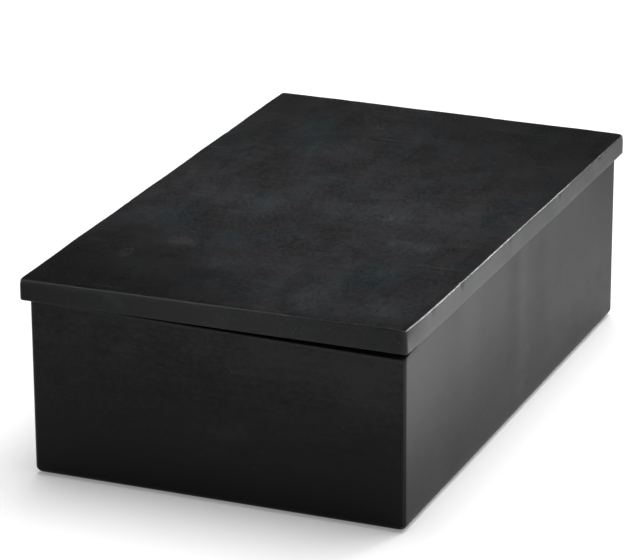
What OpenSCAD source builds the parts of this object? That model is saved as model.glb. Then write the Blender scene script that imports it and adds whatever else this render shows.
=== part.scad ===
// Lidded box of honed black stone, fitted out inside to keep a collection of pins.
// Four mitred wall slabs stand round a base slab that is let into them from below.
// The lid slab lifts straight off: four strips bonded under it drop inside the walls.
// Inside lie felt linings and a padded board that the pin posts are pushed into.
// Width runs along X, depth along Y with the front at -Y, and Z points up.

/* [Case] */
// Outside width of the case, left to right
body_w = 150; // [110:1:220]
// Outside depth of the case, front to back
body_d = 245; // [170:1:340]
// Height of the walls, from their underside to the rim
wall_h = 70.4; // [56:0.2:110]
// Thickness of the walls
wall_t = 9; // [7:0.5:14]
// Thickness of the base slab
base_t = 9; // [6:0.5:14]
// How far the base slab is let into each wall
rebate_w = 4; // [2:0.5:5]
// Radius of the upright corners
corner_r = 2; // [1:0.25:4]
// Radius of the outer edge round the underside
foot_r = 2.6; // [1:0.2:4]
// Radius of the outer edge of the rim
rim_r = 0.8; // [0.4:0.1:2]
// How far the rim falls along the front wall, to the front right corner
rim_fall = 4; // [0.6:0.2:5]
// Length along the right wall in which the rim is back at full height
rim_rise = 26; // [14:1:60]

/* [Lid] */
// Thickness of the lid slab
lid_t = 9; // [6:0.5:14]
// How far the lid stands out past the left and right walls
lid_over_side = 2.4; // [1:0.2:8]
// How far the lid stands out past the front and back walls
lid_over_end = 2.9; // [1:0.2:8]
// Radius of the lid's upright corners
lid_corner_r = 1.8; // [1:0.2:4]
// Radius of the lid's upper and lower edges
lid_edge_r = 0.9; // [0.4:0.1:2]
// Width of the strips under the lid
strip_w = 8; // [5:0.5:14]
// How far the strips reach down inside the walls
strip_drop = 5; // [3:0.5:10]
// Sideways clearance between the strips and the walls
strip_gap = 0.8; // [0.4:0.1:2]

/* [Lining] */
// Thickness of the felt
felt_t = 1.2; // [0.8:0.1:2.5]
// Clearance between the top of the wall linings and the lid strips
lining_gap = 1; // [0.4:0.1:3]
// Clearance between the lid lining and the strips round it
lid_lining_gap = 0.3; // [0.1:0.1:1]

/* [Pin board] */
// Thickness of the board's stiff backing
backing_t = 2; // [1.5:0.5:4]
// Thickness of the foam that holds the pin posts
foam_t = 10; // [6:0.5:16]
// Thickness of the board's cloth cover
cover_t = 0.9; // [0.6:0.1:2]
// How much higher the padding stands at its middle than at its edge
crown = 1.8; // [0.4:0.2:4]
// Clearance all round between the covered board and the wall linings
board_gap = 1.4; // [1:0.1:3]
// Width of the two pull ribbons
ribbon_w = 14; // [8:1:24]
// Thickness of the ribbon
ribbon_t = 0.6; // [0.4:0.1:0.9]
// Height of the ribbon loops above the edge of the padding
loop_h = 12; // [8:1:20]

/* [Feet] */
// Diameter of the felt feet
foot_d = 14; // [10:1:24]
// Thickness of the felt feet
foot_t = 1.8; // [1.2:0.1:3]
// How far the feet stand out below the walls
foot_proud = 0.6; // [0.4:0.1:1]
// Distance from the outside of the walls to the middle of a foot
foot_inset = 20; // [16:1:40]

/* [Hidden] */
$fn = 48;

// Colours of the finishes
stone = "#26292b";
stone_cut = "#34383a";
felt = "#3b4046";
pad_cloth = "#5d6468";
foam = "#4a4a4a";
card = "#8a7a62";
ribbon = "#1c1c1e";

// Heights
floor_z = foot_proud;
rim_z = floor_z + wall_h;
inside_z = floor_z + base_t;
lining_z = inside_z + felt_t;
lining_top = rim_z - strip_drop - lining_gap;
backing_top = lining_z + backing_t;
foam_top = backing_top + foam_t;
pad_edge = foam_top + cover_t;

// Plan sizes
inner_w = body_w - 2 * wall_t;
inner_d = body_d - 2 * wall_t;
base_w = inner_w + 2 * rebate_w;
base_d = inner_d + 2 * rebate_w;
lid_w = body_w + 2 * lid_over_side;
lid_d = body_d + 2 * lid_over_end;
frame_w = inner_w - 2 * strip_gap;
frame_d = inner_d - 2 * strip_gap;
cover_w = inner_w - 2 * felt_t - 2 * board_gap;
cover_d = inner_d - 2 * felt_t - 2 * board_gap;
foam_w = cover_w - 2 * cover_t;
foam_d = cover_d - 2 * cover_t;
loop_gap = 2 * ribbon_t;
loop_lift = 0.3;

// How far cutting shapes reach past what they cut
past = 1;

// Outline with its lower corners rounded to low_r and its upper ones to high_r
module side_outline(w, h, low_r, high_r) {
    translate([-w / 2, low_r]) square([w, h - low_r - high_r]);
    translate([-w / 2 + low_r, 0]) square([w - 2 * low_r, low_r + past / 2]);
    translate([-w / 2 + high_r, h - high_r - past / 2]) square([w - 2 * high_r, high_r + past / 2]);
    for (side = [-1, 1]) {
        translate([side * (w / 2 - low_r), low_r]) circle(r = low_r);
        translate([side * (w / 2 - high_r), h - high_r]) circle(r = high_r);
    }
}

// Rectangle in plan, centred, with rounded corners
module plan_outline(w, d, r) {
    square([w, d - 2 * r], center = true);
    square([w - 2 * r, d], center = true);
    for (x = [-1, 1], y = [-1, 1])
        translate([x * (w / 2 - r), y * (d / 2 - r)]) circle(r = r);
}

// Block with every outer edge eased, standing on z = 0
module eased_block(w, d, h, plan_r, low_r, high_r) {
    intersection() {
        linear_extrude(h) plan_outline(w, d, plan_r);
        translate([0, d / 2, 0]) rotate([90, 0, 0]) linear_extrude(d) side_outline(w, h, low_r, high_r);
        translate([-w / 2, 0, 0]) rotate([90, 0, 90]) linear_extrude(w) side_outline(d, h, low_r, high_r);
    }
}

// Wedge in plan that one wall fills: it meets its neighbours at 45 degree mitres
module mitre_wedge(length, reach) {
    deep = wall_t + past;
    linear_extrude(rim_z + past)
        polygon([
            [-length / 2 - past, reach - past], [length / 2 + past, reach - past],
            [length / 2 - deep, reach + deep], [-length / 2 + deep, reach + deep]
        ]);
}

// The four walls as if they were one piece: outer block less the room inside and the base's seat
module wall_ring() {
    difference() {
        translate([0, 0, floor_z]) eased_block(body_w, body_d, wall_h, corner_r, foot_r, rim_r);
        translate([-inner_w / 2, -inner_d / 2, 0]) cube([inner_w, inner_d, rim_z + past]);
        translate([-base_w / 2, -base_d / 2, 0]) cube([base_w, base_d, inside_z]);
    }
}

// What is ground off the rim towards the front right corner
module rim_waste() {
    // along the front, from nothing at the left to rim_fall at the right
    translate([0, -body_d / 2 + wall_t, 0]) rotate([90, 0, 0]) linear_extrude(wall_t + past)
        polygon([
            [-body_w / 2, rim_z], [body_w / 2 + past, rim_z - rim_fall * (1 + past / body_w)],
            [body_w / 2 + past, rim_z + past], [-body_w / 2, rim_z + past]
        ]);
    // along the right, back up to full height within rim_rise
    translate([body_w / 2 - wall_t, 0, 0]) rotate([90, 0, 90]) linear_extrude(wall_t + past)
        polygon([
            [-body_d / 2 - past, rim_z - rim_fall * (1 + past / rim_rise)], [-body_d / 2 + rim_rise, rim_z],
            [-body_d / 2 + rim_rise, rim_z + past], [-body_d / 2 - past, rim_z + past]
        ]);
}

module front_wall() {
    color(stone) difference() {
        intersection() {
            wall_ring();
            mitre_wedge(body_w, -body_d / 2);
        }
        rim_waste();
    }
}

module back_wall() {
    color(stone) intersection() {
        wall_ring();
        rotate(180) mitre_wedge(body_w, -body_d / 2);
    }
}

module left_wall() {
    color(stone) intersection() {
        wall_ring();
        rotate(-90) mitre_wedge(body_d, -body_w / 2);
    }
}

module right_wall() {
    color(stone) difference() {
        intersection() {
            wall_ring();
            rotate(90) mitre_wedge(body_d, -body_w / 2);
        }
        rim_waste();
    }
}

// Puts its children at the middle of each foot
module at_feet() {
    for (x = [-1, 1], y = [-1, 1])
        translate([x * (body_w / 2 - foot_inset), y * (body_d / 2 - foot_inset), 0]) children();
}

// Base slab, let up into the walls, with a shallow seat for each foot
module base_slab() {
    color(stone_cut) difference() {
        translate([-base_w / 2, -base_d / 2, floor_z]) cube([base_w, base_d, base_t]);
        at_feet() translate([0, 0, -past]) cylinder(d = foot_d, h = foot_t + past);
    }
}

module felt_feet() {
    color(felt) at_feet() cylinder(d = foot_d, h = foot_t);
}

module base_lining() {
    color(felt) translate([-inner_w / 2, -inner_d / 2, inside_z]) cube([inner_w, inner_d, felt_t]);
}

// Felt on the inside of one wall, standing on the base lining
module wall_lining(length, reach) {
    color(felt) translate([-length / 2, reach, lining_z]) cube([length, felt_t, lining_top - lining_z]);
}

module front_lining() {
    wall_lining(inner_w, -inner_d / 2);
}

module back_lining() {
    rotate(180) wall_lining(inner_w, -inner_d / 2);
}

module left_lining() {
    rotate(-90) wall_lining(inner_d - 2 * felt_t, -inner_w / 2);
}

module right_lining() {
    rotate(90) wall_lining(inner_d - 2 * felt_t, -inner_w / 2);
}

module board_backing() {
    color(card) translate([-foam_w / 2, -foam_d / 2, lining_z]) cube([foam_w, foam_d, backing_t]);
}

module board_foam() {
    color(foam) translate([-foam_w / 2, -foam_d / 2, backing_top]) cube([foam_w, foam_d, foam_t]);
}

// Height of the padding over a point, each way from the middle as a share from -1 to 1
function pad_height(u, v) = foam_top + cover_t + crown * (1 - pow(u, 4)) * (1 - pow(v, 4));

// Padding as one closed grid of steps_w by steps_d: the crowned top, and a flat underside beneath it
module crowned_block(w, d, low, steps_w = 14, steps_d = 20) {
    row = steps_d + 1;
    count = (steps_w + 1) * row;
    top = [
        for (i = [0:steps_w], j = [0:steps_d])
            let (u = 2 * i / steps_w - 1, v = 2 * j / steps_d - 1) [u * w / 2, v * d / 2, pad_height(u, v)]
    ];
    under = [for (p = top) [p[0], p[1], low]];
    sheet = [
        for (i = [0:steps_w - 1], j = [0:steps_d - 1])
            let (a = i * row + j) each [[a, a + 1, a + row + 1], [a, a + row + 1, a + row]]
    ];
    floor_sheet = [for (f = sheet) [f[2] + count, f[1] + count, f[0] + count]];
    rim = concat(
        [for (j = [0:steps_d - 1]) [j, j + 1]],
        [for (i = [0:steps_w - 1]) [i * row + steps_d, (i + 1) * row + steps_d]],
        [for (j = [steps_d:-1:1]) [steps_w * row + j, steps_w * row + j - 1]],
        [for (i = [steps_w:-1:1]) [i * row, (i - 1) * row]]
    );
    side = [for (e = rim) each [[e[1], e[0], e[0] + count], [e[1], e[0] + count, e[1] + count]]];
    polyhedron(concat(top, under), concat(sheet, floor_sheet, side), convexity = 4);
}

// Cloth cover with its wadding: wrapped over the foam and down the sides of the backing
module board_cover() {
    color(pad_cloth) difference() {
        crowned_block(cover_w, cover_d, lining_z);
        translate([-foam_w / 2, -foam_d / 2, lining_z - past]) cube([foam_w, foam_d, foam_top - lining_z + past]);
    }
}

// Ribbon: a tail glued down the end of the board, and a loop to pull on above it
module pull_ribbon() {
    loop_r = loop_gap / 2 + ribbon_t;
    tail_z = lining_z;
    loop_z = pad_edge + loop_lift + loop_r;
    loop_top = pad_edge + loop_h - loop_r;
    color(ribbon) translate([-ribbon_w / 2, 0, 0]) rotate([90, 0, 90]) linear_extrude(ribbon_w) {
        translate([-cover_d / 2 - ribbon_t, tail_z]) square([ribbon_t, loop_z - tail_z]);
        translate([-cover_d / 2 - ribbon_t + loop_r, 0]) difference() {
            union() {
                translate([0, loop_z]) circle(r = loop_r);
                translate([0, loop_top]) circle(r = loop_r);
                translate([-loop_r, loop_z]) square([2 * loop_r, loop_top - loop_z]);
            }
            translate([0, loop_z]) circle(r = loop_gap / 2);
            translate([0, loop_top]) circle(r = loop_gap / 2);
            translate([-loop_gap / 2, loop_z]) square([loop_gap, loop_top - loop_z]);
        }
    }
}

module front_pull_ribbon() {
    pull_ribbon();
}

module back_pull_ribbon() {
    rotate(180) pull_ribbon();
}

module lid_slab() {
    color(stone) translate([0, 0, rim_z])
        eased_block(lid_w, lid_d, lid_t, lid_corner_r, lid_edge_r, lid_edge_r);
}

// Strip under the lid that drops inside one wall; its ends are mitred to the next strips
module lid_strip(length, reach) {
    color(stone_cut) translate([0, 0, rim_z - strip_drop]) linear_extrude(strip_drop)
        polygon([
            [-length / 2, reach], [length / 2, reach],
            [length / 2 - strip_w, reach + strip_w], [-length / 2 + strip_w, reach + strip_w]
        ]);
}

module front_lid_strip() {
    lid_strip(frame_w, -frame_d / 2);
}

module back_lid_strip() {
    rotate(180) lid_strip(frame_w, -frame_d / 2);
}

module left_lid_strip() {
    rotate(-90) lid_strip(frame_d, -frame_w / 2);
}

module right_lid_strip() {
    rotate(90) lid_strip(frame_d, -frame_w / 2);
}

// Felt bonded under the lid, inside the frame of strips
module lid_lining() {
    w = frame_w - 2 * strip_w - 2 * lid_lining_gap;
    d = frame_d - 2 * strip_w - 2 * lid_lining_gap;
    color(felt) translate([-w / 2, -d / 2, rim_z - felt_t]) cube([w, d, felt_t]);
}

front_wall();
back_wall();
left_wall();
right_wall();
base_slab();
felt_feet();
base_lining();
front_lining();
back_lining();
left_lining();
right_lining();
board_backing();
board_foam();
board_cover();
front_pull_ribbon();
back_pull_ribbon();
lid_slab();
front_lid_strip();
back_lid_strip();
left_lid_strip();
right_lid_strip();
lid_lining();
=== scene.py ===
# %% [markdown]
# Lidded box of honed black stone, fitted out to keep a collection of pins.
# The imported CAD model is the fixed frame: it gives every place, size and joint.
# This file gives the looks. The walls and the lid are built again as surfaces with the
# unevenness of stone worked by hand. The felt, the padded board and its ribbons are made
# as soft goods, and every piece gets a finish made from nodes. Lengths are in metres, and
# a length that reads better in millimetres is multiplied by MM.

# %% The frame and the tools
import math

import bmesh
import bpy
import numpy as np
from mathutils import Matrix, Vector


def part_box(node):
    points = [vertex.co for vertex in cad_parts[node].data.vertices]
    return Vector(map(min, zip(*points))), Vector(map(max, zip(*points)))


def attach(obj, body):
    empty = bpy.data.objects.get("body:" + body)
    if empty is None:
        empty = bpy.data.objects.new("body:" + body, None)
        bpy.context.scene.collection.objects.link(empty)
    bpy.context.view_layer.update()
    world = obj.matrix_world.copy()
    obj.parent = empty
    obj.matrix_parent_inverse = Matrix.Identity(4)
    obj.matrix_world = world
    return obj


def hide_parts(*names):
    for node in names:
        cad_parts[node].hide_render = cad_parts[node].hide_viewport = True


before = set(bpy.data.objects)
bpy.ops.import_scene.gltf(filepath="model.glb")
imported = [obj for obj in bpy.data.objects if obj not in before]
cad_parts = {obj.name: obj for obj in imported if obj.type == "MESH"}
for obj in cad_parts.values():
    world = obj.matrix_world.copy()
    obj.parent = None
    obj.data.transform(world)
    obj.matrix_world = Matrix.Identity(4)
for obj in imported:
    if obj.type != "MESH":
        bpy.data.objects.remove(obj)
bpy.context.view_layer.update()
MM = 0.001

# %% [markdown]
# The camera comes first. A long lens stands a little over a metre away and looks down
# on the box from the front right. Its place, turn and lens were worked out from the
# outlines of the box in the photograph, so the render can be laid over it. Building the
# matrix from the view direction is clearer than three angles in a row.

# %% Camera
CAMERA_AT = Vector((0.48926, -1.20167, 0.52178))
CAMERA_YAW, CAMERA_PITCH, CAMERA_ROLL = -0.39253, 0.35095, -0.00539
LENS = 196.1


def camera_matrix(at, yaw, pitch, roll):
    """Looks along (sin yaw cos pitch, cos yaw cos pitch, -sin pitch), then rolls about it."""
    level = math.cos(pitch)
    forward = Vector((math.sin(yaw) * level, math.cos(yaw) * level, -math.sin(pitch)))
    level_right = Vector((math.cos(yaw), -math.sin(yaw), 0))
    level_up = level_right.cross(forward)
    right = level_right * math.cos(roll) + level_up * math.sin(roll)
    up = level_up * math.cos(roll) - level_right * math.sin(roll)
    turn = Matrix((right, up, -forward)).transposed().to_4x4()
    return Matrix.Translation(at) @ turn


camera = bpy.data.objects.new("camera", bpy.data.cameras.new("camera"))
camera.data.lens = LENS
camera.data.clip_start, camera.data.clip_end = 0.05, 50
camera.matrix_world = camera_matrix(CAMERA_AT, CAMERA_YAW, CAMERA_PITCH, CAMERA_ROLL)
bpy.context.scene.collection.objects.link(camera)
bpy.context.scene.camera = camera
print("camera stands", round(CAMERA_AT.length, 3), "m from the middle of the underside")

# %% [markdown]
# Materials are node graphs. One short helper puts a node in a tree: an input that is
# given as a socket gets linked, any other value is set on the input itself. The helpers
# after it are the nodes used most, so a graph reads as a list of what feeds what.

# %% Node helpers
def put(tree, kind, inputs=None, **settings):
    """Adds a node; inputs maps an input's name or number to a socket or a plain value."""
    made = tree.nodes.new(kind)
    for name, value in settings.items():
        setattr(made, name, value)
    for name, value in (inputs or {}).items():
        if isinstance(value, bpy.types.NodeSocket):
            tree.links.new(value, made.inputs[name])
        else:
            made.inputs[name].default_value = value
    return made


def math_node(tree, operation, first, second=0.0, clamp=False):
    """One sum on sockets or numbers; clamp keeps the result between 0 and 1."""
    inputs = {0: first, 1: second}
    return put(tree, "ShaderNodeMath", inputs, operation=operation, use_clamp=clamp).outputs[0]


def plus(tree, first, second, clamp=False):
    return math_node(tree, "ADD", first, second, clamp)


def minus(tree, first, second):
    return math_node(tree, "SUBTRACT", first, second)


def times(tree, first, second, clamp=False):
    return math_node(tree, "MULTIPLY", first, second, clamp)


def larger(tree, first, second):
    return math_node(tree, "MAXIMUM", first, second)


def remap(tree, value, low, high, to_low=0.0, to_high=1.0, kind="SMOOTHSTEP"):
    """Stretches low..high onto to_low..to_high, with soft ends."""
    inputs = {"Value": value, "From Min": low, "From Max": high, "To Min": to_low, "To Max": to_high}
    return put(tree, "ShaderNodeMapRange", inputs, interpolation_type=kind).outputs["Result"]


def linear(tree, value, low, high, to_low, to_high):
    """As remap, but in a straight line from end to end."""
    return remap(tree, value, low, high, to_low, to_high, "LINEAR")


def tint(tree, mask, first, second):
    """Mixes two colours by a mask: first where it is 0, second where it is 1."""
    return put(tree, "ShaderNodeMix", {0: mask, 6: first, 7: second}, data_type="RGBA").outputs[2]


def grey(level):
    return (level, level, level, 1)


# %% Node helpers: patterns and places
NOISE_SPAN = (0.3, 0.7)  # most of a noise's values lie between these


def noise(tree, vector, scale, detail, **others):
    """Values that drift round 0.5; others are further inputs of the node, such as Roughness."""
    inputs = {"Vector": vector, "Scale": scale, "Detail": detail, **others}
    return put(tree, "ShaderNodeTexNoise", inputs).outputs["Fac"]


def stretched(tree, vector, scale, turn=(0, 0, 0)):
    """The pattern's coordinates, turned and scaled by a Mapping node."""
    inputs = {"Vector": vector, "Rotation": turn, "Scale": scale}
    return put(tree, "ShaderNodeMapping", inputs).outputs["Vector"]


def split(tree, vector):
    """The X, Y and Z of a vector."""
    return put(tree, "ShaderNodeSeparateXYZ", {"Vector": vector}).outputs


def distance(tree, place, point):
    inputs = {0: place, 1: point}
    return put(tree, "ShaderNodeVectorMath", inputs, operation="DISTANCE").outputs["Value"]


# %% [markdown]
# Effects that several finishes share are node groups with named inputs and outputs:
# clouds for the drifting tone of stone and felt, specks for pale grains, scratches for
# what handling leaves, and rubbed edges. A group gives out masks only, and each material
# decides what the masks do.

# %% Node groups: an empty group with named sockets
SOCKETS = {"value": "NodeSocketFloat", "vector": "NodeSocketVector"}


def start_group(name, inputs, outputs):
    """A new group; inputs is a list of (name, kind, value), outputs a list of names of values."""
    group = bpy.data.node_groups.new(name, "ShaderNodeTree")
    for label, kind, value in inputs:
        socket = group.interface.new_socket(label, in_out="INPUT", socket_type=SOCKETS[kind])
        if value is not None:
            socket.default_value = value
    for label in outputs:
        group.interface.new_socket(label, in_out="OUTPUT", socket_type=SOCKETS["value"])
    return group, put(group, "NodeGroupInput").outputs, put(group, "NodeGroupOutput").inputs


def use(tree, group, inputs):
    """Places a group in a material with its own values, and gives its outputs."""
    return put(tree, "ShaderNodeGroup", inputs, node_tree=group).outputs


# %% Node group: clouds, and a grain that is many times finer
FINER = 15.0
CLOUDS, given, gives = start_group(
    "Clouds", [("Vector", "vector", None), ("Size", "value", 10.0), ("Softness", "value", 0.2)],
    ["Clouds", "Fine"])
broad = noise(CLOUDS, given["Vector"], given["Size"], 9.0, Roughness=0.66, Distortion=0.15)
above = plus(CLOUDS, given["Softness"], 0.5)
below = minus(CLOUDS, 0.5, given["Softness"])
CLOUDS.links.new(remap(CLOUDS, broad, below, above), gives["Clouds"])
fine_size = times(CLOUDS, given["Size"], FINER)
CLOUDS.links.new(noise(CLOUDS, given["Vector"], fine_size, 6.0, Roughness=0.8), gives["Fine"])

# %% Node group: specks, a soft dot in some of the cells of a pattern, each of its own strength
DOT_CORE, DOT_RIM = 0.12, 0.34
SPECKS, given, gives = start_group(
    "Specks", [("Vector", "vector", None), ("Size", "value", 400.0), ("Share", "value", 0.1)],
    ["Mask"])
cells = put(SPECKS, "ShaderNodeTexVoronoi", {"Vector": given["Vector"], "Scale": given["Size"]})
chance = put(SPECKS, "ShaderNodeSeparateColor", {"Color": cells.outputs["Color"]}).outputs
chosen = math_node(SPECKS, "LESS_THAN", chance[0], given["Share"])
dot = remap(SPECKS, cells.outputs["Distance"], DOT_CORE, DOT_RIM, 1.0, 0.0)
SPECKS.links.new(times(SPECKS, times(SPECKS, dot, chance[1]), chosen), gives["Mask"])

# %% Node group: scratches, long thin streaks in three directions that show in patches
STREAKS = ((0.35, 0.02), (-0.9, 0.03), (1.9, 0.015))  # turn in radians, width over length
SCRATCHES, given, gives = start_group(
    "Scratches", [("Vector", "vector", None), ("Fineness", "value", 500.0), ("Share", "value", 0.3)],
    ["Mask"])
streaks = []
for angle, ratio in STREAKS:
    drawn = stretched(SCRATCHES, given["Vector"], (ratio, 1, ratio * 2), (0, 0, angle))
    streaks.append(remap(SCRATCHES, noise(SCRATCHES, drawn, given["Fineness"], 2.0), 0.66, 0.76))
crossed = larger(SCRATCHES, larger(SCRATCHES, streaks[0], streaks[1]), streaks[2])
patch = noise(SCRATCHES, given["Vector"], 38.0, 3.0)
shown_above = minus(SCRATCHES, 0.75, times(SCRATCHES, given["Share"], 0.5))
shown = remap(SCRATCHES, patch, shown_above, 0.8)
SCRATCHES.links.new(times(SCRATCHES, crossed, shown), gives["Mask"])

# %% Node group: rubbed edges, where the edge attribute, broken up by noise, is high enough
RAGGED_SHARE, RUB_SOFTNESS = 0.25, 0.35
RUBBED, given, gives = start_group(
    "Rubbed edges", [("Vector", "vector", None), ("Edge", "value", 0.0), ("Reach", "value", 0.4)],
    ["Mask"])
ragged = noise(RUBBED, given["Vector"], 260.0, 5.0)
coarse = noise(RUBBED, given["Vector"], 45.0, 2.0)
broken = plus(RUBBED, times(RUBBED, ragged, RAGGED_SHARE), times(RUBBED, coarse, 1 - RAGGED_SHARE))
worn_to = plus(RUBBED, given["Edge"], minus(RUBBED, broken, 0.5))
start = minus(RUBBED, 1.0, given["Reach"])
RUBBED.links.new(remap(RUBBED, worn_to, start, plus(RUBBED, start, RUB_SOFTNESS)), gives["Mask"])
print("node groups:", [group.name for group in bpy.data.node_groups])

# %% [markdown]
# Wax on stone isn't even. It has pooled dark at two corners of the lid, it has bloomed in a few hazy
# spots on the lid, and hands have polished the right side under the rim. The walls get painted shade,
# darker towards the foot, and the end walls a painted highlight high up in the middle. These could be
# painted into an image. Here each is a mask worked out from the place on the object instead, with a
# middle and a reach judged one by one, so it needs no image and stays sharp close up.

# %% Wax: where it is thin and where it has bloomed on the lid
LID_TOP_Z = 80 * MM
LID_MIDDLE = (-4 * MM, -18 * MM, LID_TOP_Z)
WAX_POOLS = (  # x and y, where a pool ends and where bare stone begins, in millimetres
    (-77, -125, 10, 100), (77, 125, 0, 120), (-20, -140, -20, 45))
HAZY_SPOTS = (  # x, y and radius in millimetres, and how strong
    (46, -38, 12, 1.0), (25, -6, 26, 0.4), (7, -12, 20, 0.4), (-26, -17, 22, 0.5),
    (-13, -82, 12, 0.6), (-37, -66, 9, 0.8), (35, -107, 20, 0.6), (62, -108, 22, 0.5),
    (-28, 58, 25, 0.3), (6, 86, 18, 0.3))
SPOT_SHIFT = 30 * MM


def outside_pools(tree, place):
    """Product of a fade out of each pool, 0 to 1, and of a slow fall from the lid's middle."""
    tone_mask = 1.0
    for x, y, start, end in WAX_POOLS:
        away = distance(tree, place, (x * MM, y * MM, LID_TOP_Z))
        tone_mask = times(tree, tone_mask, remap(tree, away, start * MM, end * MM))
    from_middle = distance(tree, place, LID_MIDDLE)
    return times(tree, tone_mask, remap(tree, from_middle, 20 * MM, 150 * MM, 1.0, 0.42))


def hazy_spots(tree, place):
    """The strongest spot at each point: strength * a soft fall from its middle to its radius.
    Noise shifts the place first, by up to half of SPOT_SHIFT, so that outlines are ragged."""
    inputs = {"Vector": place, "Scale": 60.0, "Detail": 5.0, "Roughness": 0.7}
    stir = put(tree, "ShaderNodeTexNoise", inputs).outputs["Color"]
    inputs = {0: stir, 1: (SPOT_SHIFT, SPOT_SHIFT, 0), 2: (-SPOT_SHIFT / 2, -SPOT_SHIFT / 2, 0)}
    shift = put(tree, "ShaderNodeVectorMath", inputs, operation="MULTIPLY_ADD").outputs["Vector"]
    moved = put(tree, "ShaderNodeVectorMath", {0: place, 1: shift}, operation="ADD").outputs["Vector"]
    haze = 0.0
    for x, y, radius, strength in HAZY_SPOTS:
        away = distance(tree, moved, (x * MM, y * MM, LID_TOP_Z))
        haze = larger(tree, haze, remap(tree, away, 0.0, radius * MM, strength, 0.0))
    return haze


# %% Walls: painted shade and painted highlight, and where hands have polished the wax
def painted_foot_shade(tree, place):
    """About 0 at the foot of a wall, where it is painted darkest as painted shade, and about 1 under
    the rim.
    """
    return remap(tree, split(tree, place)["Z"], -4 * MM, 85 * MM)


def end_wall_painted_light(tree, place):
    """Painted shade towards the foot, as on the side walls, plus a painted highlight of up to half
    more high up, rising from the left side to the middle.
    """
    axes = split(tree, place)
    high_up = remap(tree, axes["Z"], 35 * MM, 70 * MM)
    inwards = remap(tree, axes["X"], -70 * MM, -10 * MM, 0.0, 0.5)
    return plus(tree, painted_foot_shade(tree, place), times(tree, high_up, inwards))


def polished_side(tree, place, side_x):
    """How polished the right side is: most high up at the front, none low down or behind."""
    axes = split(tree, place)
    at_front = linear(tree, axes["Y"], -125 * MM, 115 * MM, 1.0, 0.0)
    high_up = remap(tree, axes["Z"], 12 * MM, 72 * MM)
    on_side = remap(tree, axes["X"], side_x - 1.2 * MM, side_x - 0.5 * MM)
    return times(tree, times(tree, at_front, high_up), on_side)


print(len(WAX_POOLS), "pools of wax and", len(HAZY_SPOTS), "hazy spots")

# %% [markdown]
# Stone that is honed and then waxed is almost black, with a satin gloss. Its tone drifts in teal-grey
# clouds, the honing leaves very fine lines along each face, pale grains and scratches show in it, and
# the wax wears off the edges that hands touch; on the lid the paler edges also carry painted
# highlight. The mesh says where an edge is, and how pale it is, in an attribute named edge, because a
# node can't measure that in a way that survives export. A low index of refraction gives little gloss
# seen straight on and much of it at a glancing angle, which is what sets the pale right side off the
# dark front. The polish that hands left is a second, thin coat of gloss.

# %% Stone finish: colours and shared steps
STONE_DARK = (0.0034, 0.0034, 0.0037, 1)
LID_CLOUD, LID_TEAL = (0.0272, 0.0262, 0.0288, 1), (0.0210, 0.0300, 0.0330, 1)
WALL_CLOUD = (0.0235, 0.0238, 0.0242, 1)
# Paler stone at the edges: wear, and on the lid also painted highlight.
WORN_AND_LIT_STONE = (0.074, 0.077, 0.077, 1)
STONE_SPECK = (0.10, 0.11, 0.11, 1)
# The palest stone: edges rubbed bare, on the lid partly painted highlight, and the pale specks of sawn
# stone.
PALE_STONE = (0.34, 0.35, 0.345, 1)
WAX_HAZE = (0.085, 0.105, 0.112, 1)


def new_material(name):
    """An empty material with a Principled shader, the object's coordinates and its output."""
    material = bpy.data.materials.new(name)
    material.use_nodes = True
    tree = material.node_tree
    tree.nodes.clear()
    shader = put(tree, "ShaderNodeBsdfPrincipled")
    put(tree, "ShaderNodeOutputMaterial", {"Surface": shader.outputs[0]})
    return material, tree, shader, put(tree, "ShaderNodeTexCoord").outputs["Object"]


def feed(tree, shader, colour, roughness, height, depth, strength):
    """Links what varies over the surface into the shader: colour, roughness and a bump."""
    tree.links.new(colour, shader.inputs["Base Color"])
    tree.links.new(roughness, shader.inputs["Roughness"])
    bump = put(tree, "ShaderNodeBump", {"Height": height, "Distance": depth, "Strength": strength})
    tree.links.new(bump.outputs["Normal"], shader.inputs["Normal"])


# %% Stone finish: tone and marks
CLOUD_TURN, HUE_TURN, SCUFF_TURN = (0, 0, 0.4), (0.4, 0.2, 1.1), (0, 0, 0.9)
LINE_TONE = 0.10


def stone_tone(tree, place, clouds, lines, tone_mask, grain):
    """From dark, 0, to the clouds' colour, 1: clouds * a broader drift, plus the fine grain, plus the
    honing lines, and all that * the tone mask: how thinly the lid is waxed, and on the walls painted
    shade towards the foot, with a painted highlight high up on the end walls."""
    drift = use(tree, CLOUDS, {"Vector": place, "Size": 15.0, "Softness": 0.2})["Clouds"]
    tone = times(tree, linear(tree, clouds["Clouds"], 0.0, 1.0, 0.36, 0.78),
                 remap(tree, drift, 0.0, 1.0, 0.62, 1.0))
    tone = plus(tree, tone, linear(tree, clouds["Fine"], *NOISE_SPAN, -grain, grain))
    tone = plus(tree, tone, linear(tree, lines, *NOISE_SPAN, -LINE_TONE, LINE_TONE), True)
    return times(tree, tone, linear(tree, tone_mask, 0.0, 1.4, 0.04, 1.8), True)


def stone_marks(tree, place, fine, scratches):
    """The larger of the scratches and half of the scuffs, which the fine grain breaks up."""
    slanted = stretched(tree, place, (1.0, 0.35, 1.0), SCUFF_TURN)
    scuffs = use(tree, SPECKS, {"Vector": slanted, "Size": 105.0, "Share": 0.07})["Mask"]
    broken = times(tree, scuffs, remap(tree, fine, 0.45, 0.62))
    return larger(tree, scratches, times(tree, broken, 0.5))


# %% Stone finish: the material
SPECK_SHOWS, HAZE_GRAIN, POLISH = 0.6, (0.05, 0.33), 0.85


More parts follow.
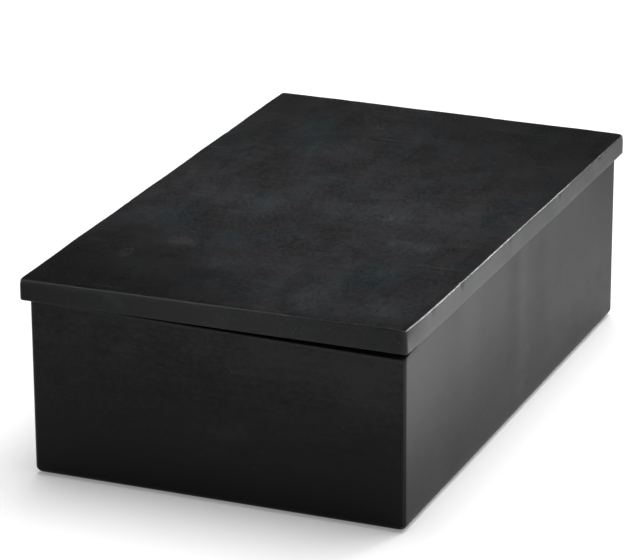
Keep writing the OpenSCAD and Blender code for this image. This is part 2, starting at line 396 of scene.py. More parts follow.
def waxed_stone(name, colours, stretch, size, honing, rough, ior, tone_mask_maker, marks, grain,
                side_x=None, hazy=False):
    """Waxed stone. colours: the two its clouds drift between. stretch, size: of the clouds.
    honing: scale of the honing lines. rough, ior: of the gloss. The tone mask it is given: how thinly
    the lid is waxed, and on the walls painted shade towards the foot, with a painted highlight high up
    on the end walls. marks, grain: how pale its marks and how strong its grain are. side_x: where its
    polished right side is, if it has one. hazy: whether it has the lid's hazy spots."""
    material, tree, shader, place = new_material(name)
    turned_place = stretched(tree, place, stretch, CLOUD_TURN)
    clouds = use(tree, CLOUDS, {"Vector": turned_place, "Size": size, "Softness": 0.19})
    hue_place = stretched(tree, place, (1.5, 1, 1), HUE_TURN)
    hue = use(tree, CLOUDS, {"Vector": hue_place, "Size": 27.0, "Softness": 0.14})["Clouds"]
    specks = use(tree, SPECKS, {"Vector": place, "Size": 1000.0, "Share": 0.035})["Mask"]
    scratches = use(tree, SCRATCHES, {"Vector": place, "Fineness": 900.0, "Share": 0.6})["Mask"]
    edge = put(tree, "ShaderNodeAttribute", attribute_name="edge").outputs["Fac"]
    bare_and_highlight = use(tree, RUBBED, {"Vector": place, "Edge": edge, "Reach": 0.36})["Mask"]
    lines = noise(tree, stretched(tree, place, honing), 1.0, 5.0)
    # The tone mask: how thinly the lid is waxed; on the walls painted shade towards the foot, and on
    # the end walls a painted highlight high up.
    tone_mask = tone_mask_maker(tree, place)

    tone = stone_tone(tree, place, clouds, lines, tone_mask, grain)
    colour = tint(tree, tone, STONE_DARK, tint(tree, remap(tree, hue, 0.5, 1.0), *colours))
    if hazy:
        grained = linear(tree, clouds["Fine"], 0.35, 0.65, *HAZE_GRAIN)
        colour = tint(tree, times(tree, hazy_spots(tree, place), grained), colour, WAX_HAZE)
    colour = tint(tree, times(tree, specks, SPECK_SHOWS), colour, STONE_SPECK)
    marked = stone_marks(tree, place, clouds["Fine"], scratches)
    colour = tint(tree, times(tree, marked, marks), colour, STONE_SPECK)
    # Paler along the edges: wear, and on the lid partly painted highlight.
    colour = tint(tree, remap(tree, edge, 0.2, 0.8), colour, WORN_AND_LIT_STONE)
    colour = tint(tree, bare_and_highlight, colour, PALE_STONE)

    satin = remap(tree, clouds["Clouds"], 0.0, 1.0, rough - 0.03, rough + 0.03)
    satin = plus(tree, satin, remap(tree, tone_mask, 0.0, 1.0, -0.07, 0.02))
    satin = plus(tree, satin, linear(tree, clouds["Fine"], *NOISE_SPAN, -0.03, 0.03))
    height = plus(tree, times(tree, lines, 0.3), times(tree, clouds["Fine"], 0.7))
    height = minus(tree, height, times(tree, scratches, 0.6))
    feed(tree, shader, colour, satin, height, 0.03 * MM, 0.4)
    shader.inputs["IOR"].default_value = ior
    if side_x is not None:
        polish = times(tree, polished_side(tree, place, side_x), POLISH)
        tree.links.new(polish, shader.inputs["Coat Weight"])
        shader.inputs["Coat IOR"].default_value = 1.3
        shader.inputs["Coat Roughness"].default_value = 0.4
    return material


# %% Stone finish: lid, end walls and side walls
lid_stone = waxed_stone(
    "lid_stone", colours=(LID_CLOUD, LID_TEAL), stretch=(1.8, 0.85, 1.2), size=42.0,
    honing=(40, 500, 500), rough=0.35, ior=1.185, tone_mask_maker=outside_pools, marks=0.45,
    grain=0.50, side_x=77.4 * MM, hazy=True)
# End walls: their tone mask is painted shade towards the foot and a painted highlight high up in the
# middle.
end_stone = waxed_stone(
    "end_wall_stone", colours=(WALL_CLOUD, WALL_CLOUD), stretch=(1.0, 1.0, 1.3), size=30.0,
    honing=(18, 260, 700), rough=0.42, ior=1.185, tone_mask_maker=end_wall_painted_light, marks=0.12, grain=0.34)
# Side walls: their tone mask is painted shade, darker towards the foot.
side_stone = waxed_stone(
    "side_wall_stone", colours=(WALL_CLOUD, WALL_CLOUD), stretch=(1.0, 0.45, 1.1), size=26.0,
    honing=(260, 10, 600), rough=0.42, ior=1.18, tone_mask_maker=painted_foot_shade, marks=0.12,
    grain=0.26, side_x=75.0 * MM)
for made in (lid_stone, end_stone, side_stone):
    print(made.name, "has", len(made.node_tree.nodes), "nodes")

# %% [markdown]
# Where no wax goes, under the lid and inside the foot, the same stone is only sawn: paler,
# dull, and marked by the saw's fine parallel ridges. These pieces keep their CAD solids,
# since a sawn strip is exactly that shape, and only get the finish.

# %% Sawn stone finish
SAWN_DARK, SAWN_PALE = (0.040, 0.044, 0.046, 1), (0.085, 0.092, 0.094, 1)
STRIPS = ("front_lid_strip", "back_lid_strip", "left_lid_strip", "right_lid_strip")


def sawn_stone(name):
    """Cloudy stone with ridges from the saw, which give both a drift of tone and the bump."""
    material, tree, shader, place = new_material(name)
    clouds = use(tree, CLOUDS, {"Vector": place, "Size": 22.0, "Softness": 0.25})
    specks = use(tree, SPECKS, {"Vector": place, "Size": 520.0, "Share": 0.12})["Mask"]
    ridges = noise(tree, stretched(tree, place, (60, 60, 700), (0.5, 0.3, 0)), 1.0, 4.0)
    tone = plus(tree, clouds["Clouds"], linear(tree, ridges, *NOISE_SPAN, -0.3, 0.3), True)
    colour = tint(tree, tone, SAWN_DARK, SAWN_PALE)
    colour = tint(tree, times(tree, specks, SPECK_SHOWS), colour, PALE_STONE)
    dull = remap(tree, clouds["Fine"], *NOISE_SPAN, 0.62, 0.78)
    feed(tree, shader, colour, dull, plus(tree, ridges, clouds["Fine"]), 0.15 * MM, 0.7)
    shader.inputs["IOR"].default_value = 1.45
    return material


def refinish(node, material):
    """Gives a CAD node's object a new material in each of its slots."""
    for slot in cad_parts[node].material_slots:
        slot.material = material


cut_stone = sawn_stone("sawn_stone")
for node in ("base_slab",) + STRIPS:
    refinish(node, cut_stone)
print("sawn stone on", 1 + len(STRIPS), "CAD nodes")

# %% [markdown]
# Every new piece is a grid of points worked out with numpy: one direction runs along the
# piece, the other round its profile. These helpers turn such a grid into a closed mesh.
# Columns that meet are merged, and then the faces are all turned outwards.

# %% From a grid of points to a mesh
MERGE = 0.001 * MM
SHARP = math.radians(38)


def grid_faces(columns, rows, wrap_columns, wrap_rows):
    """Four corners of every cell of a columns by rows grid, as row numbers into its points."""
    i, j = np.meshgrid(np.arange(columns - (not wrap_columns)), np.arange(rows - (not wrap_rows)),
                       indexing="ij")
    i, j = i.ravel(), j.ravel()
    following, beside = (i + 1) % columns, (j + 1) % rows
    return np.stack([i * rows + j, following * rows + j,
                     following * rows + beside, i * rows + beside], axis=1)


def make_piece(name, points, closed_round, edge=None, uv=None):
    """A mesh object from a grid of points (columns, rows, 3). closed_round says that its last
    column joins its first; otherwise its rows join, and a face closes each of its two ends."""
    columns, rows = points.shape[:2]
    faces = grid_faces(columns, rows, closed_round, not closed_round).tolist()
    if not closed_round:
        faces += [list(range(rows)), list(range((columns - 1) * rows, columns * rows))]
    mesh = bpy.data.meshes.new(name)
    mesh.from_pydata(points.reshape(-1, 3).tolist(), [], faces)
    if edge is not None:
        values = edge.ravel().astype(np.float32)
        mesh.attributes.new("edge", "FLOAT", "POINT").data.foreach_set("value", values)
    if uv is not None:
        corner = np.empty(len(mesh.loops), dtype=np.int32)
        mesh.loops.foreach_get("vertex_index", corner)
        values = uv.reshape(-1, 2)[corner].astype(np.float32).ravel()
        mesh.uv_layers.new(name="cloth").data.foreach_set("uv", values)
    work = bmesh.new()
    work.from_mesh(mesh)
    bmesh.ops.remove_doubles(work, verts=work.verts, dist=MERGE)
    bmesh.ops.recalc_face_normals(work, faces=work.faces)
    work.to_mesh(mesh)
    work.free()
    mesh.polygons.foreach_set("use_smooth", np.ones(len(mesh.polygons), dtype=bool))
    mesh.set_sharp_from_angle(angle=SHARP)
    piece = bpy.data.objects.new(name, mesh)
    bpy.context.scene.collection.objects.link(piece)
    return piece


def dress(piece, body, slot, material, *nodes):
    """Hangs a piece in the frame: its body, its finish, what it stands for; slot is not used."""
    piece.data.materials.clear()
    piece.data.materials.append(material)
    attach(piece, body)
    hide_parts(*nodes)
    print(f"{piece.name}: {len(piece.data.polygons)} faces")
    return piece


# %% [markdown]
# Two curves do most of the shaping, a bell and a ramp. Stone ground by hand is never quite
# flat: a few long waves, each a sine over the place in the box, are added to every face
# along its outward direction. Because the height depends only on the place, two walls that
# meet at a mitre stay together. Low upright ridges in the right wall follow the photograph,
# where the boldest shows as a dark and a light stripe.

# %% Unevenness of the stone
WAVES = (  # height, turns per metre along x, y and z, and phase
    (0.05 * MM, (7, 9, 4), 0.3), (0.02 * MM, (-17, 13, 9), 1.9), (0.01 * MM, (29, -23, 14), 4.1),
    (0.003 * MM, (70, 61, -38), 2.2))
RIDGES = (  # y of the middle, half width and height
    (0.5 * MM, 8.2 * MM, 0.32 * MM), (34 * MM, 10 * MM, 0.16 * MM), (-62 * MM, 14 * MM, 0.24 * MM))
FACE_SUNK = 0.10 * MM  # how far the faces lie inside the CAD ones, so that waves stay in them


def bell(away, reach):
    """1 at distance 0, falling off as exp(-(distance / reach) squared)."""
    return np.exp(-(away / reach) ** 2)


def ramp(value, start, length):
    """0 up to start, 1 from start + length on, a straight line between."""
    return np.clip((value - start) / length, 0, 1)


def unevenness(points):
    """Sum of sines over the place: height * sin(2 pi (turns . point) + phase)."""
    total = np.zeros(points.shape[:-1])
    for height, turns, phase in WAVES:
        total += height * np.sin(2 * np.pi * (points @ np.array(turns, dtype=float)) + phase)
    return total


def right_wall_ridges(points):
    """Low ridges that run up the right wall and die out towards the foot:
    the sum of height * rise * bell((y - middle) / half width)."""
    x, y, z = points[..., 0], points[..., 1], points[..., 2]
    shown = ramp(x, 70 * MM, 4 * MM) * (0.2 + 0.8 * ramp(z, 8 * MM, 45 * MM))
    return sum(height * shown * bell(y - middle, width) for middle, width, height in RIDGES)


print("waves add up to", round(sum(wave[0] for wave in WAVES) / MM, 3), "mm at most")

# %% [markdown]
# The four walls are slabs that meet at 45 degree mitres. Their outside is worked as one
# block after gluing: upright corners and the foot are rounded, the rim is just eased, and
# it is ground down towards the front right corner, which leaves the dark wedge under the
# lid. Each wall is a profile carried along its run. Outside, the run bends through half a
# corner at either end; inside it is straight; between them the plan is blended.

# %% Walls: sizes and plan
case_low, case_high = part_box("left_wall")
CASE_W, CASE_D = -2 * case_low.x, 2 * case_high.y
FLOOR_Z, RIM_Z = case_low.z, case_high.z
WALL_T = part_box("front_wall")[1].y + CASE_D / 2
INSIDE_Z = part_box("base_slab")[1].z
REBATE = WALL_T - (CASE_D / 2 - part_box("base_slab")[1].y)
CORNER_R, FOOT_R, RIM_R = 2.0 * MM, 2.6 * MM, 0.8 * MM
RIM_FALL, RIM_RISE, FALL_START = 3.5 * MM, 26 * MM, RIM_Z - 24 * MM
WALL_STEP = 1.6 * MM
print("case", round(CASE_W, 4), round(CASE_D, 4), "wall", round(WALL_T, 4), "rebate", round(REBATE, 4))


def side_plan(length, radius, run_step, corner_steps=9):
    """One side of a rounded rectangle from mitre to mitre: half a corner, the run, half a corner.
    On a corner, along = centre + radius sin(turn) and inset = radius (1 - cos(turn))."""
    turn = np.linspace(-np.pi / 4, 0, corner_steps + 1)[:-1]
    reach = length / 2 - radius
    run = np.linspace(-reach, reach, int(round(2 * reach / run_step)) + 1)
    along = np.concatenate([-reach + radius * np.sin(turn), run, reach - radius * np.sin(turn[::-1])])
    angle = np.concatenate([turn, np.zeros(len(run)), -turn[::-1]])
    return along, radius * (1 - np.cos(angle)), angle


def turned(x, y, quarter):
    """The plan point x, y turned by that many quarter turns."""
    cos, sin = ((1, 0), (0, 1), (-1, 0), (0, -1))[quarter]
    return x * cos - y * sin, x * sin + y * cos


# %% Walls: profile
def arc(centre, radius, start, end, steps):
    """Points of an arc in the profile plane, angles in degrees from the inset direction."""
    angle = np.radians(np.linspace(start, end, steps + 1))
    return np.stack([centre[0] + radius * np.cos(angle), centre[1] + radius * np.sin(angle)], axis=1)


def level(insets, height):
    """Points of the profile at one height."""
    return np.stack([insets, np.full(len(insets), height)], axis=1)


def upright(inset, heights):
    """Points of the profile at one inset."""
    return np.stack([np.full(len(heights), inset), heights], axis=1)


def wall_profile():
    """Section of a wall as (inset, height), once round: foot, face, rim, inside face, seat."""
    return np.concatenate([
        [[WALL_T - REBATE, FLOOR_Z], [FOOT_R + 1 * MM, FLOOR_Z]],
        arc((FOOT_R, FLOOR_Z + FOOT_R), FOOT_R, -90, -180, 8),
        upright(0, np.linspace(FLOOR_Z + FOOT_R, RIM_Z - RIM_R, 26)[1:-1]),
        arc((RIM_R, RIM_Z - RIM_R), RIM_R, 180, 90, 5),
        level(np.linspace(2.2 * MM, WALL_T, 4), RIM_Z),
        upright(WALL_T, np.linspace(RIM_Z - 1 * MM, FALL_START, 8)),
        [[WALL_T, INSIDE_Z], [WALL_T - REBATE, INSIDE_Z]]])


print("wall profile has", len(wall_profile()), "points")

# %% Walls: the ground-down rim and the wear
RIM_WORN, FOOT_WORN, CORNER_WORN = 0.66, 0.36, 0.42
NEAR = 0.2 * MM  # a margin that tells the rim of one wall from the next


def rim_drop(x, y):
    """How far the rim is ground down: along the front, fall * (share of the way to the right
    corner) ** 0.7, and along the right side it is gone RIM_RISE behind that corner."""
    front = RIM_FALL * ramp(x, -CASE_W / 2, CASE_W) ** 0.7
    behind = 1 - ramp(y, -CASE_D / 2, RIM_RISE)
    on_right = ramp(x, CASE_W / 2 - WALL_T, NEAR) > 0.5
    on_front = y < -CASE_D / 2 + WALL_T + NEAR
    return np.where(on_right, np.minimum(front, RIM_FALL * behind), front * on_front)


def wall_wear(profile, angle):
    """The edge attribute: the greatest of a bell round the rim, a bell round the foot, and a
    straight rise round each upright corner."""
    rim = RIM_WORN * bell(np.hypot(profile[:, 0], profile[:, 1] - RIM_Z), 1.0 * MM)
    foot = FOOT_WORN * bell(np.hypot(profile[:, 0], profile[:, 1] - FLOOR_Z), 2.0 * MM)
    corner = CORNER_WORN * np.abs(angle) / (np.pi / 4)
    outside = profile[:, 0] < FOOT_R
    return np.maximum(np.maximum(rim, foot)[None, :], corner[:, None] * outside[None, :])


# %% Walls: the four pieces
def wall_piece(side, quarter, material):
    """A profile carried from mitre to mitre: place = outside plan (1 - f) + inside plan f,
    where f = inset / thickness. Waves and ridges fade out over the first 0.3 of f."""
    length, reach = (CASE_W, CASE_D / 2) if quarter % 2 == 0 else (CASE_D, CASE_W / 2)
    along, inset, angle = side_plan(length, CORNER_R, WALL_STEP)
    profile = wall_profile()
    share = profile[None, :, 0] / WALL_T
    inner = along * (length / 2 - WALL_T) / along[-1]
    local_x = along[:, None] * (1 - share) + inner[:, None] * share
    local_y = -reach + inset[:, None] * (1 - share) + WALL_T * share
    x, y = turned(local_x, local_y, quarter)
    z = np.broadcast_to(profile[None, :, 1], x.shape)
    points = np.stack([x, y, z], axis=-1)
    out_x, out_y = turned(np.sin(angle), -np.cos(angle), quarter)
    outward = np.stack([out_x, out_y, np.zeros(len(angle))], axis=1)[:, None, :]
    height = unevenness(points) + right_wall_ridges(points) - FACE_SUNK
    points = points + outward * (height * (1 - ramp(share, 0, 0.3)))[..., None]
    points[..., 2] -= rim_drop(x, y) * ramp(z, FALL_START, RIM_Z - RIM_R - FALL_START)
    piece = make_piece(side + "_stone", points, False, wall_wear(profile, angle))
    return dress(piece, "case", "stone", material, side)


for quarter, side in enumerate(("front_wall", "right_wall", "back_wall", "left_wall")):
    wall_piece(side, quarter, (end_stone, side_stone)[quarter % 2])

# %% [markdown]
# The lid is one slab with eased edges, and felt linings, feet and the pad have the same
# kind of form, so one function makes them all. It carries a profile round a rounded
# rectangle. A row of the profile lies at some inset from the outline, and its corners keep
# a small radius of their own, so no cell of the grid shrinks to nothing. The last rows
# close along the middle line, where the two sides meet and are merged.

# %% Slabs: a profile carried round a rounded rectangle
LEAST_R = 0.3 * MM


def ring_plan(half_w, half_d, radius, inset, run_step):
    """Plan of a closed ring at each inset (an array): its four sides, each without its last
    column. On a side, x runs straight and then bends with radius - inset, but no less than
    LEAST_R while there is room for it."""
    columns_x, columns_y, out_x, out_y = [], [], [], []
    inset = np.asarray(inset, dtype=float)[None, :]
    for quarter in range(4):
        half, reach = (half_w, half_d) if quarter % 2 == 0 else (half_d, half_w)
        along, _, angle = side_plan(2 * half, radius, run_step, corner_steps=8)
        straight = np.clip(along / (half - radius), -1, 1)[:-1, None]
        angle = angle[:-1, None]
        room = np.minimum(half_w, half_d) - inset
        inner_r = np.minimum(np.maximum(radius - inset, LEAST_R), np.maximum(room, 0))
        local_x = straight * (half - inset - inner_r) + inner_r * np.sin(angle)
        local_y = -(reach - inset - inner_r) - inner_r * np.cos(angle)
        x, y = turned(local_x, local_y, quarter)
        columns_x.append(x), columns_y.append(y)
        x, y = turned(np.sin(angle), -np.cos(angle), quarter)
        out_x.append(x), out_y.append(y)
    return (np.concatenate(columns_x), np.concatenate(columns_y),
            np.concatenate(out_x)[:, 0], np.concatenate(out_y)[:, 0])


def slab_profile(half, height, edge_r, inner_steps, side_steps=4, arc_steps=6):
    """Half section of a slab as (inset, height), from the middle out: underside, edge, side,
    edge, top. Rows crowd towards the edge: inset = edge + (half - edge) * step squared."""
    spread = edge_r + (half - edge_r) * np.linspace(0, 1, inner_steps + 1)[1:] ** 2
    return np.concatenate([
        level(spread[::-1], 0),
        arc((edge_r, edge_r), edge_r, -90, -180, arc_steps),
        upright(0, np.linspace(edge_r, height - edge_r, side_steps + 1)[1:-1]),
        arc((edge_r, height - edge_r), edge_r, 180, 90, arc_steps),
        level(spread, height)])


def slab_points(half_w, half_d, plan_r, profile, run_step):
    """Points (columns, rows, 3) of a slab that stands on z = 0, and each column's outward
    direction."""
    x, y, out_x, out_y = ring_plan(half_w, half_d, plan_r, profile[:, 0], run_step)
    points = np.stack([x, y, np.broadcast_to(profile[:, 1], x.shape)], axis=-1)
    return points, np.stack([out_x, out_y, np.zeros(len(out_x))], axis=1)


# %% [markdown]
# The lid slab. Its edges are not straight: they wander by under a tenth of a millimetre, and small
# nicks are broken out of the upper edge, each a bell-shaped dent that pulls the edge inwards and down.
# The upper face is slightly twisted, and at the front right corner the side bends in and the edge is
# worn down. The long right edge is the one that fingers hook under, so it is rubbed pale; that it is
# palest near the front and less towards the back is painted highlight, as are a broad pale band along
# the front edge and a paler middle of the front face.

# %% Lid slab: sizes, nicks and wear
LID_PLAN_R, LID_EDGE_R, LID_STEP = 1.8 * MM, 0.65 * MM, 1.3 * MM
lid_low, lid_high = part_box("lid_slab")
lid_half = (lid_high - lid_low) / 2
LID_T = 2 * lid_half.z
NICKS = (  # x and y, how deep and how wide, in millimetres
    (77.4, -70.6, 0.55, 1.4), (77.4, -18, 0.3, 1.1), (77.4, -101, 0.3, 2.2),
    (77.4, 41, 0.35, 1.3), (77.4, 92, 0.25, 2.0), (-52, -125.4, 0.25, 2.4),
    (-7, -125.4, 0.25, 1.6), (31, -125.4, 0.3, 2.8), (77.4, -125.4, 0.5, 2.0),
    (-77.4, -125.4, 0.4, 2.2), (-77.4, -30, 0.12, 1.6), (-77.4, 66, 0.15, 1.9),
    (20, 125.4, 0.15, 1.5), (-45, 125.4, 0.12, 2.4), (77.4, 125.4, 0.5, 1.8))
WANDER = ((0.05 * MM, 19, 0.0), (0.02 * MM, 47, 1.3))  # height, turns per metre, phase
TWIST, TWIST_SUNK, EDGE_SUNK = 0.50 * MM, 0.12 * MM, 0.12 * MM
WEAR_DOWN, WEAR_ALONG, WEAR_ACROSS = 0.35 * MM, 15 * MM, 2.0 * MM
DRAWN_IN, DRAWN_ACROSS = 1.0 * MM, 8 * MM
print("lid", round(2 * lid_half.x, 4), round(2 * lid_half.y, 4), round(LID_T, 4), "nicks", len(NICKS))


def nick_depth(points):
    """Depth of the deepest dent at each point: depth * bell(distance / width)."""
    deepest = np.zeros(points.shape[:-1])
    for x, y, depth, width in NICKS:
        away = np.hypot(points[..., 0] - x * MM, points[..., 1] - y * MM)
        deepest = np.maximum(deepest, depth * MM * bell(away, width * MM))
    return deepest


def edge_wander(points):
    """The worked edge's wander: the sum of height * sin(2 pi turns (x + 0.9 y) + phase)."""
    along = points[..., 0] + 0.9 * points[..., 1]
    return sum(height * np.sin(2 * np.pi * along * turns + phase) for height, turns, phase in WANDER)


def top_twist(points):
    """The upper face is twisted: -twist * x y over the half sizes, less what it is sunk by."""
    return -TWIST * points[..., 0] * points[..., 1] / (lid_half.x * lid_half.y) - TWIST_SUNK


def corner_wear(points):
    """The right edge is worn down at the front: depth * bell(along) * bell(in from the side)."""
    along, inwards = points[..., 1] + lid_half.y, lid_half.x - points[..., 0]
    return WEAR_DOWN * bell(along, WEAR_ALONG) * bell(inwards, WEAR_ACROSS)


def drawn_corner(points):
    """The right side bends in towards the front corner, more at the top: depth *
    (0.35 + 0.65 height / thickness) * bell(along), fading out a little way in."""
    along, inwards = points[..., 1] + lid_half.y, lid_half.x - points[..., 0]
    leaning = 0.35 + 0.65 * points[..., 2] / LID_T
    return DRAWN_IN * leaning * bell(along, WEAR_ALONG) * (1 - ramp(inwards, 0, DRAWN_ACROSS))


# %% Lid slab: shape
profile = slab_profile(lid_half.x, LID_T, LID_EDGE_R, 16)
points, outward = slab_points(lid_half.x, lid_half.y, LID_PLAN_R, profile, LID_STEP)
height_share = (profile[:, 1] / LID_T)[None, :]
near_side = bell(profile[:, 0], 1.2 * MM)[None, :]
upper = ramp(height_share, 1.6 / 3, 1 / 3)
from_corner = np.hypot(profile[:, 0], profile[:, 1] - LID_T)
at_upper_edge = bell(from_corner, 1.3 * MM)[None, :]

points[..., 0] -= drawn_corner(points)
points[..., 2] += top_twist(points) * height_share - corner_wear(points) * upper
points[..., 2] += lid_low.z
uneven_side = EDGE_SUNK - unevenness(points) - edge_wander(points)
inward = nick_depth(points) * at_upper_edge + uneven_side * near_side
points -= outward[:, None, :] * inward[..., None]
points[..., 2] -= (0.7 * nick_depth(points) + EDGE_SUNK - edge_wander(points)) * at_upper_edge
points[..., 2] -= (FACE_SUNK - unevenness(points)) * upper * (1 - near_side)

# %% Lid slab: wear and painted highlight along its edges
LINE_AT = 0.41 * LID_EDGE_R  # how far the rounded edge's crest is from the sharp corner
FINE_LINE, BROAD_LINE, SIDE_BAND = 0.3 * MM, 0.75 * MM, 0.8 * MM


def lid_wear_and_highlight(points, profile, from_corner, at_upper_edge):
    """The edge attribute, wear and painted highlight together: the greatest of a fine line and a broad
    line along the upper edge and a band down the side, with 0.1 more for each millimetre of a nick's
    depth. Painted highlight makes the right edge and side palest at the front, fading back, and adds
    the broad band along the front edge and a paler middle of the front face."""
    x, y = points[..., 0], points[..., 1]
    on_right = ramp(x, lid_half.x - 3 * MM, 2 * MM)
    on_front = ramp(-y, lid_half.y - 3 * MM, 2 * MM)
    # Wear and painted highlight: 1 at the front of the right edge, fading to 0 at the back.
    gripped_and_lit = on_right * (1 - ramp(y, -lid_half.y, 2 * lid_half.y))
    # Painted highlight: paler towards the middle of the front face.
    mid_front_highlight = on_front * (1 - (x / lid_half.x) ** 2)
    # Painted highlight: a broad band along the front edge, strongest on the left.
    front_edge_highlight = on_front * (0.55 - 0.3 * ramp(x, 0, lid_half.x))
    fine = bell(from_corner - LINE_AT, FINE_LINE)[None, :]
    broad = bell(from_corner - LINE_AT, BROAD_LINE)[None, :]
    side = bell(profile[:, 0], SIDE_BAND)[None, :]
    edge = fine * (0.44 + 0.16 * on_right + 0.38 * gripped_and_lit - 0.14 * on_front)
    edge = np.maximum(edge, broad * np.maximum(front_edge_highlight, 0.66 * on_right * gripped_and_lit))
    edge = np.maximum(edge, side * (0.24 + 0.08 * on_front + 0.07 * mid_front_highlight + 0.16 * gripped_and_lit))
    return np.clip(edge + 0.1 * nick_depth(points) / MM * at_upper_edge, 0, 1)


edge = lid_wear_and_highlight(points, profile, from_corner, at_upper_edge)
lid = make_piece("lid_slab_stone", points, True, edge)
dress(lid, "lid", "stone", lid_stone, "lid_slab")

# %% [markdown]
# Felt lines the inside: five pieces in the case and one under the lid. It is wool matted
# without a weave, so its finish is fine fibre noise in the height and the tone, with a soft
# sheen from the standing fibres. Each piece is cut from sheet, so it is a thin slab whose
# edges are slightly rounded and whose surface swells and dips by a tenth of a millimetre.

# %% Felt finish
FELT_DARK, FELT_PALE = (0.042, 0.047, 0.052, 1), (0.095, 0.103, 0.112, 1)


def set_sheen(shader, weight, roughness):
    """The soft light on standing fibres; both are the same all over, so they go on the shader."""
    shader.inputs["Sheen Weight"].default_value = weight
    shader.inputs["Sheen Roughness"].default_value = roughness


def felt_finish(name):
    """Matted wool: fibre noise plus a slow drift for the tone, fibres and grain for the bump."""
    material, tree, shader, place = new_material(name)
    matted = use(tree, CLOUDS, {"Vector": place, "Size": 34.0, "Softness": 0.3})
    fibres = noise(tree, place, 1500.0, 5.0, Roughness=0.7, Distortion=1.6)
    tone = plus(tree, times(tree, matted["Clouds"], 0.4),
                linear(tree, fibres, 0.25, 0.75, 0.0, 0.6), True)
    height = plus(tree, fibres, times(tree, matted["Fine"], 0.6))
    feed(tree, shader, tint(tree, tone, FELT_DARK, FELT_PALE),
         remap(tree, fibres, *NOISE_SPAN, 0.85, 0.97), height, 0.4 * MM, 0.8)
    set_sheen(shader, 0.35, 0.5)
    shader.inputs["IOR"].default_value = 1.4
    return material


wool_felt = felt_finish("wool_felt")
print("wool felt has", len(wool_felt.node_tree.nodes), "nodes")

# %% Felt linings
FELT_PLAN_R, FELT_STEP, FELT_DIP = 0.5 * MM, 3 * MM, 0.1 * MM


def felt_slab(width, depth, thick):
    """A sheet of felt that lies on z = 0, its upper face lowered by dip * (1 + sine * sine)."""
    profile = slab_profile(min(width, depth) / 2, thick, 0.3 * thick, 8, 3, 4)
    points, _ = slab_points(width / 2, depth / 2, FELT_PLAN_R, profile, FELT_STEP)
    upper = (profile[:, 1] > thick / 2)[None, :]
    swell = np.sin(points[..., 0] * 190 + 0.4) * np.sin(points[..., 1] * 170 + 1.0)
    points[..., 2] -= FELT_DIP * (1 + swell) * upper
    return points


def felt_piece(name, node, body, points):
    piece = make_piece(name, points, True)
    dress(piece, body, "felt", wool_felt, node)
    return piece


def lying(node):
    """A lining that lies flat, in the box of its CAD node, and the size it was cut to."""
    low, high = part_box(node)
    points = felt_slab(high.x - low.x, high.y - low.y, high.z - low.z)
    return points + np.array([0, 0, low.z]), (high.x - low.x, high.y - low.y)


def standing(node, quarter):
    """A lining stood up against a wall: its depth goes up, its thickness goes inwards."""
    low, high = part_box(node)
    size = high - low
    length, thick, reach = ((size.x, size.y, -low.y), (size.y, size.x, high.x),
                            (size.x, size.y, high.y), (size.y, size.x, -low.x))[quarter]
    points = felt_slab(length, size.z, thick)
    x, y = turned(points[..., 0], -reach + points[..., 2], quarter)
    z = points[..., 1] + (low.z + high.z) / 2
    return np.stack([x, y, z], axis=-1), (length, size.z)


points, flat = lying("base_lining")
felt_piece("base_felt", "base_lining", "case", points)
for quarter, side in enumerate(("front", "right", "back", "left")):
    points, flat = standing(side + "_lining", quarter)
    felt_piece(side + "_felt", side + "_lining", "case", points)
points, flat = lying("lid_lining")
low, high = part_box("lid_lining")
points[..., 2] = low.z + high.z - points[..., 2]
felt_piece("lid_felt", "lid_lining", "lid", points)

# %% [markdown]
# Four round felt feet sit in shallow seats under the base slab and stand out by half a
# millimetre, so that the stone doesn't scrape the table. A foot is the same slab with a
# plan radius as large as half its width, which makes the plan a circle. The weight of the
# box has pressed its lower edge round.

# %% Felt feet
low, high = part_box("felt_feet")
FOOT_D, FOOT_T, FOOT_EDGE_R = 14.0 * MM, high.z - low.z, 0.35 * MM
FOOT_GAP, RUN_LEFT = 0.02 * MM, 0.01 * MM  # gap to the seat, half of the straight run that stays
# For each foot: the corner of the feet's box that it touches, and which way it lies from there.
FEET = {"front_left_foot": (low.x, low.y, 1, 1), "front_right_foot": (high.x, low.y, -1, 1),
        "back_left_foot": (low.x, high.y, 1, -1), "back_right_foot": (high.x, high.y, -1, -1)}
for name, (corner_x, corner_y, way_x, way_y) in FEET.items():
    half = FOOT_D / 2 - FOOT_GAP
    profile = slab_profile(half, FOOT_T, FOOT_EDGE_R, 6, 2, 4)
    points, _ = slab_points(half, half, half - RUN_LEFT, profile, 1 * MM)
    points += np.array([corner_x + way_x * FOOT_D / 2, corner_y + way_y * FOOT_D / 2, low.z])
    foot = make_piece(name, points, True)
    dress(foot, "case", "felt", wool_felt, "felt_feet")

# %% [markdown]
# The pin board is a stiff card with foam on it and a cloth cover pulled round both. Pins
# are pushed through the cloth into the foam. The cloth is a plain weave, and its pattern
# follows the cloth itself: the UV map is the sheet before it was folded down, so the
# threads run straight over the top and turn down the sides.

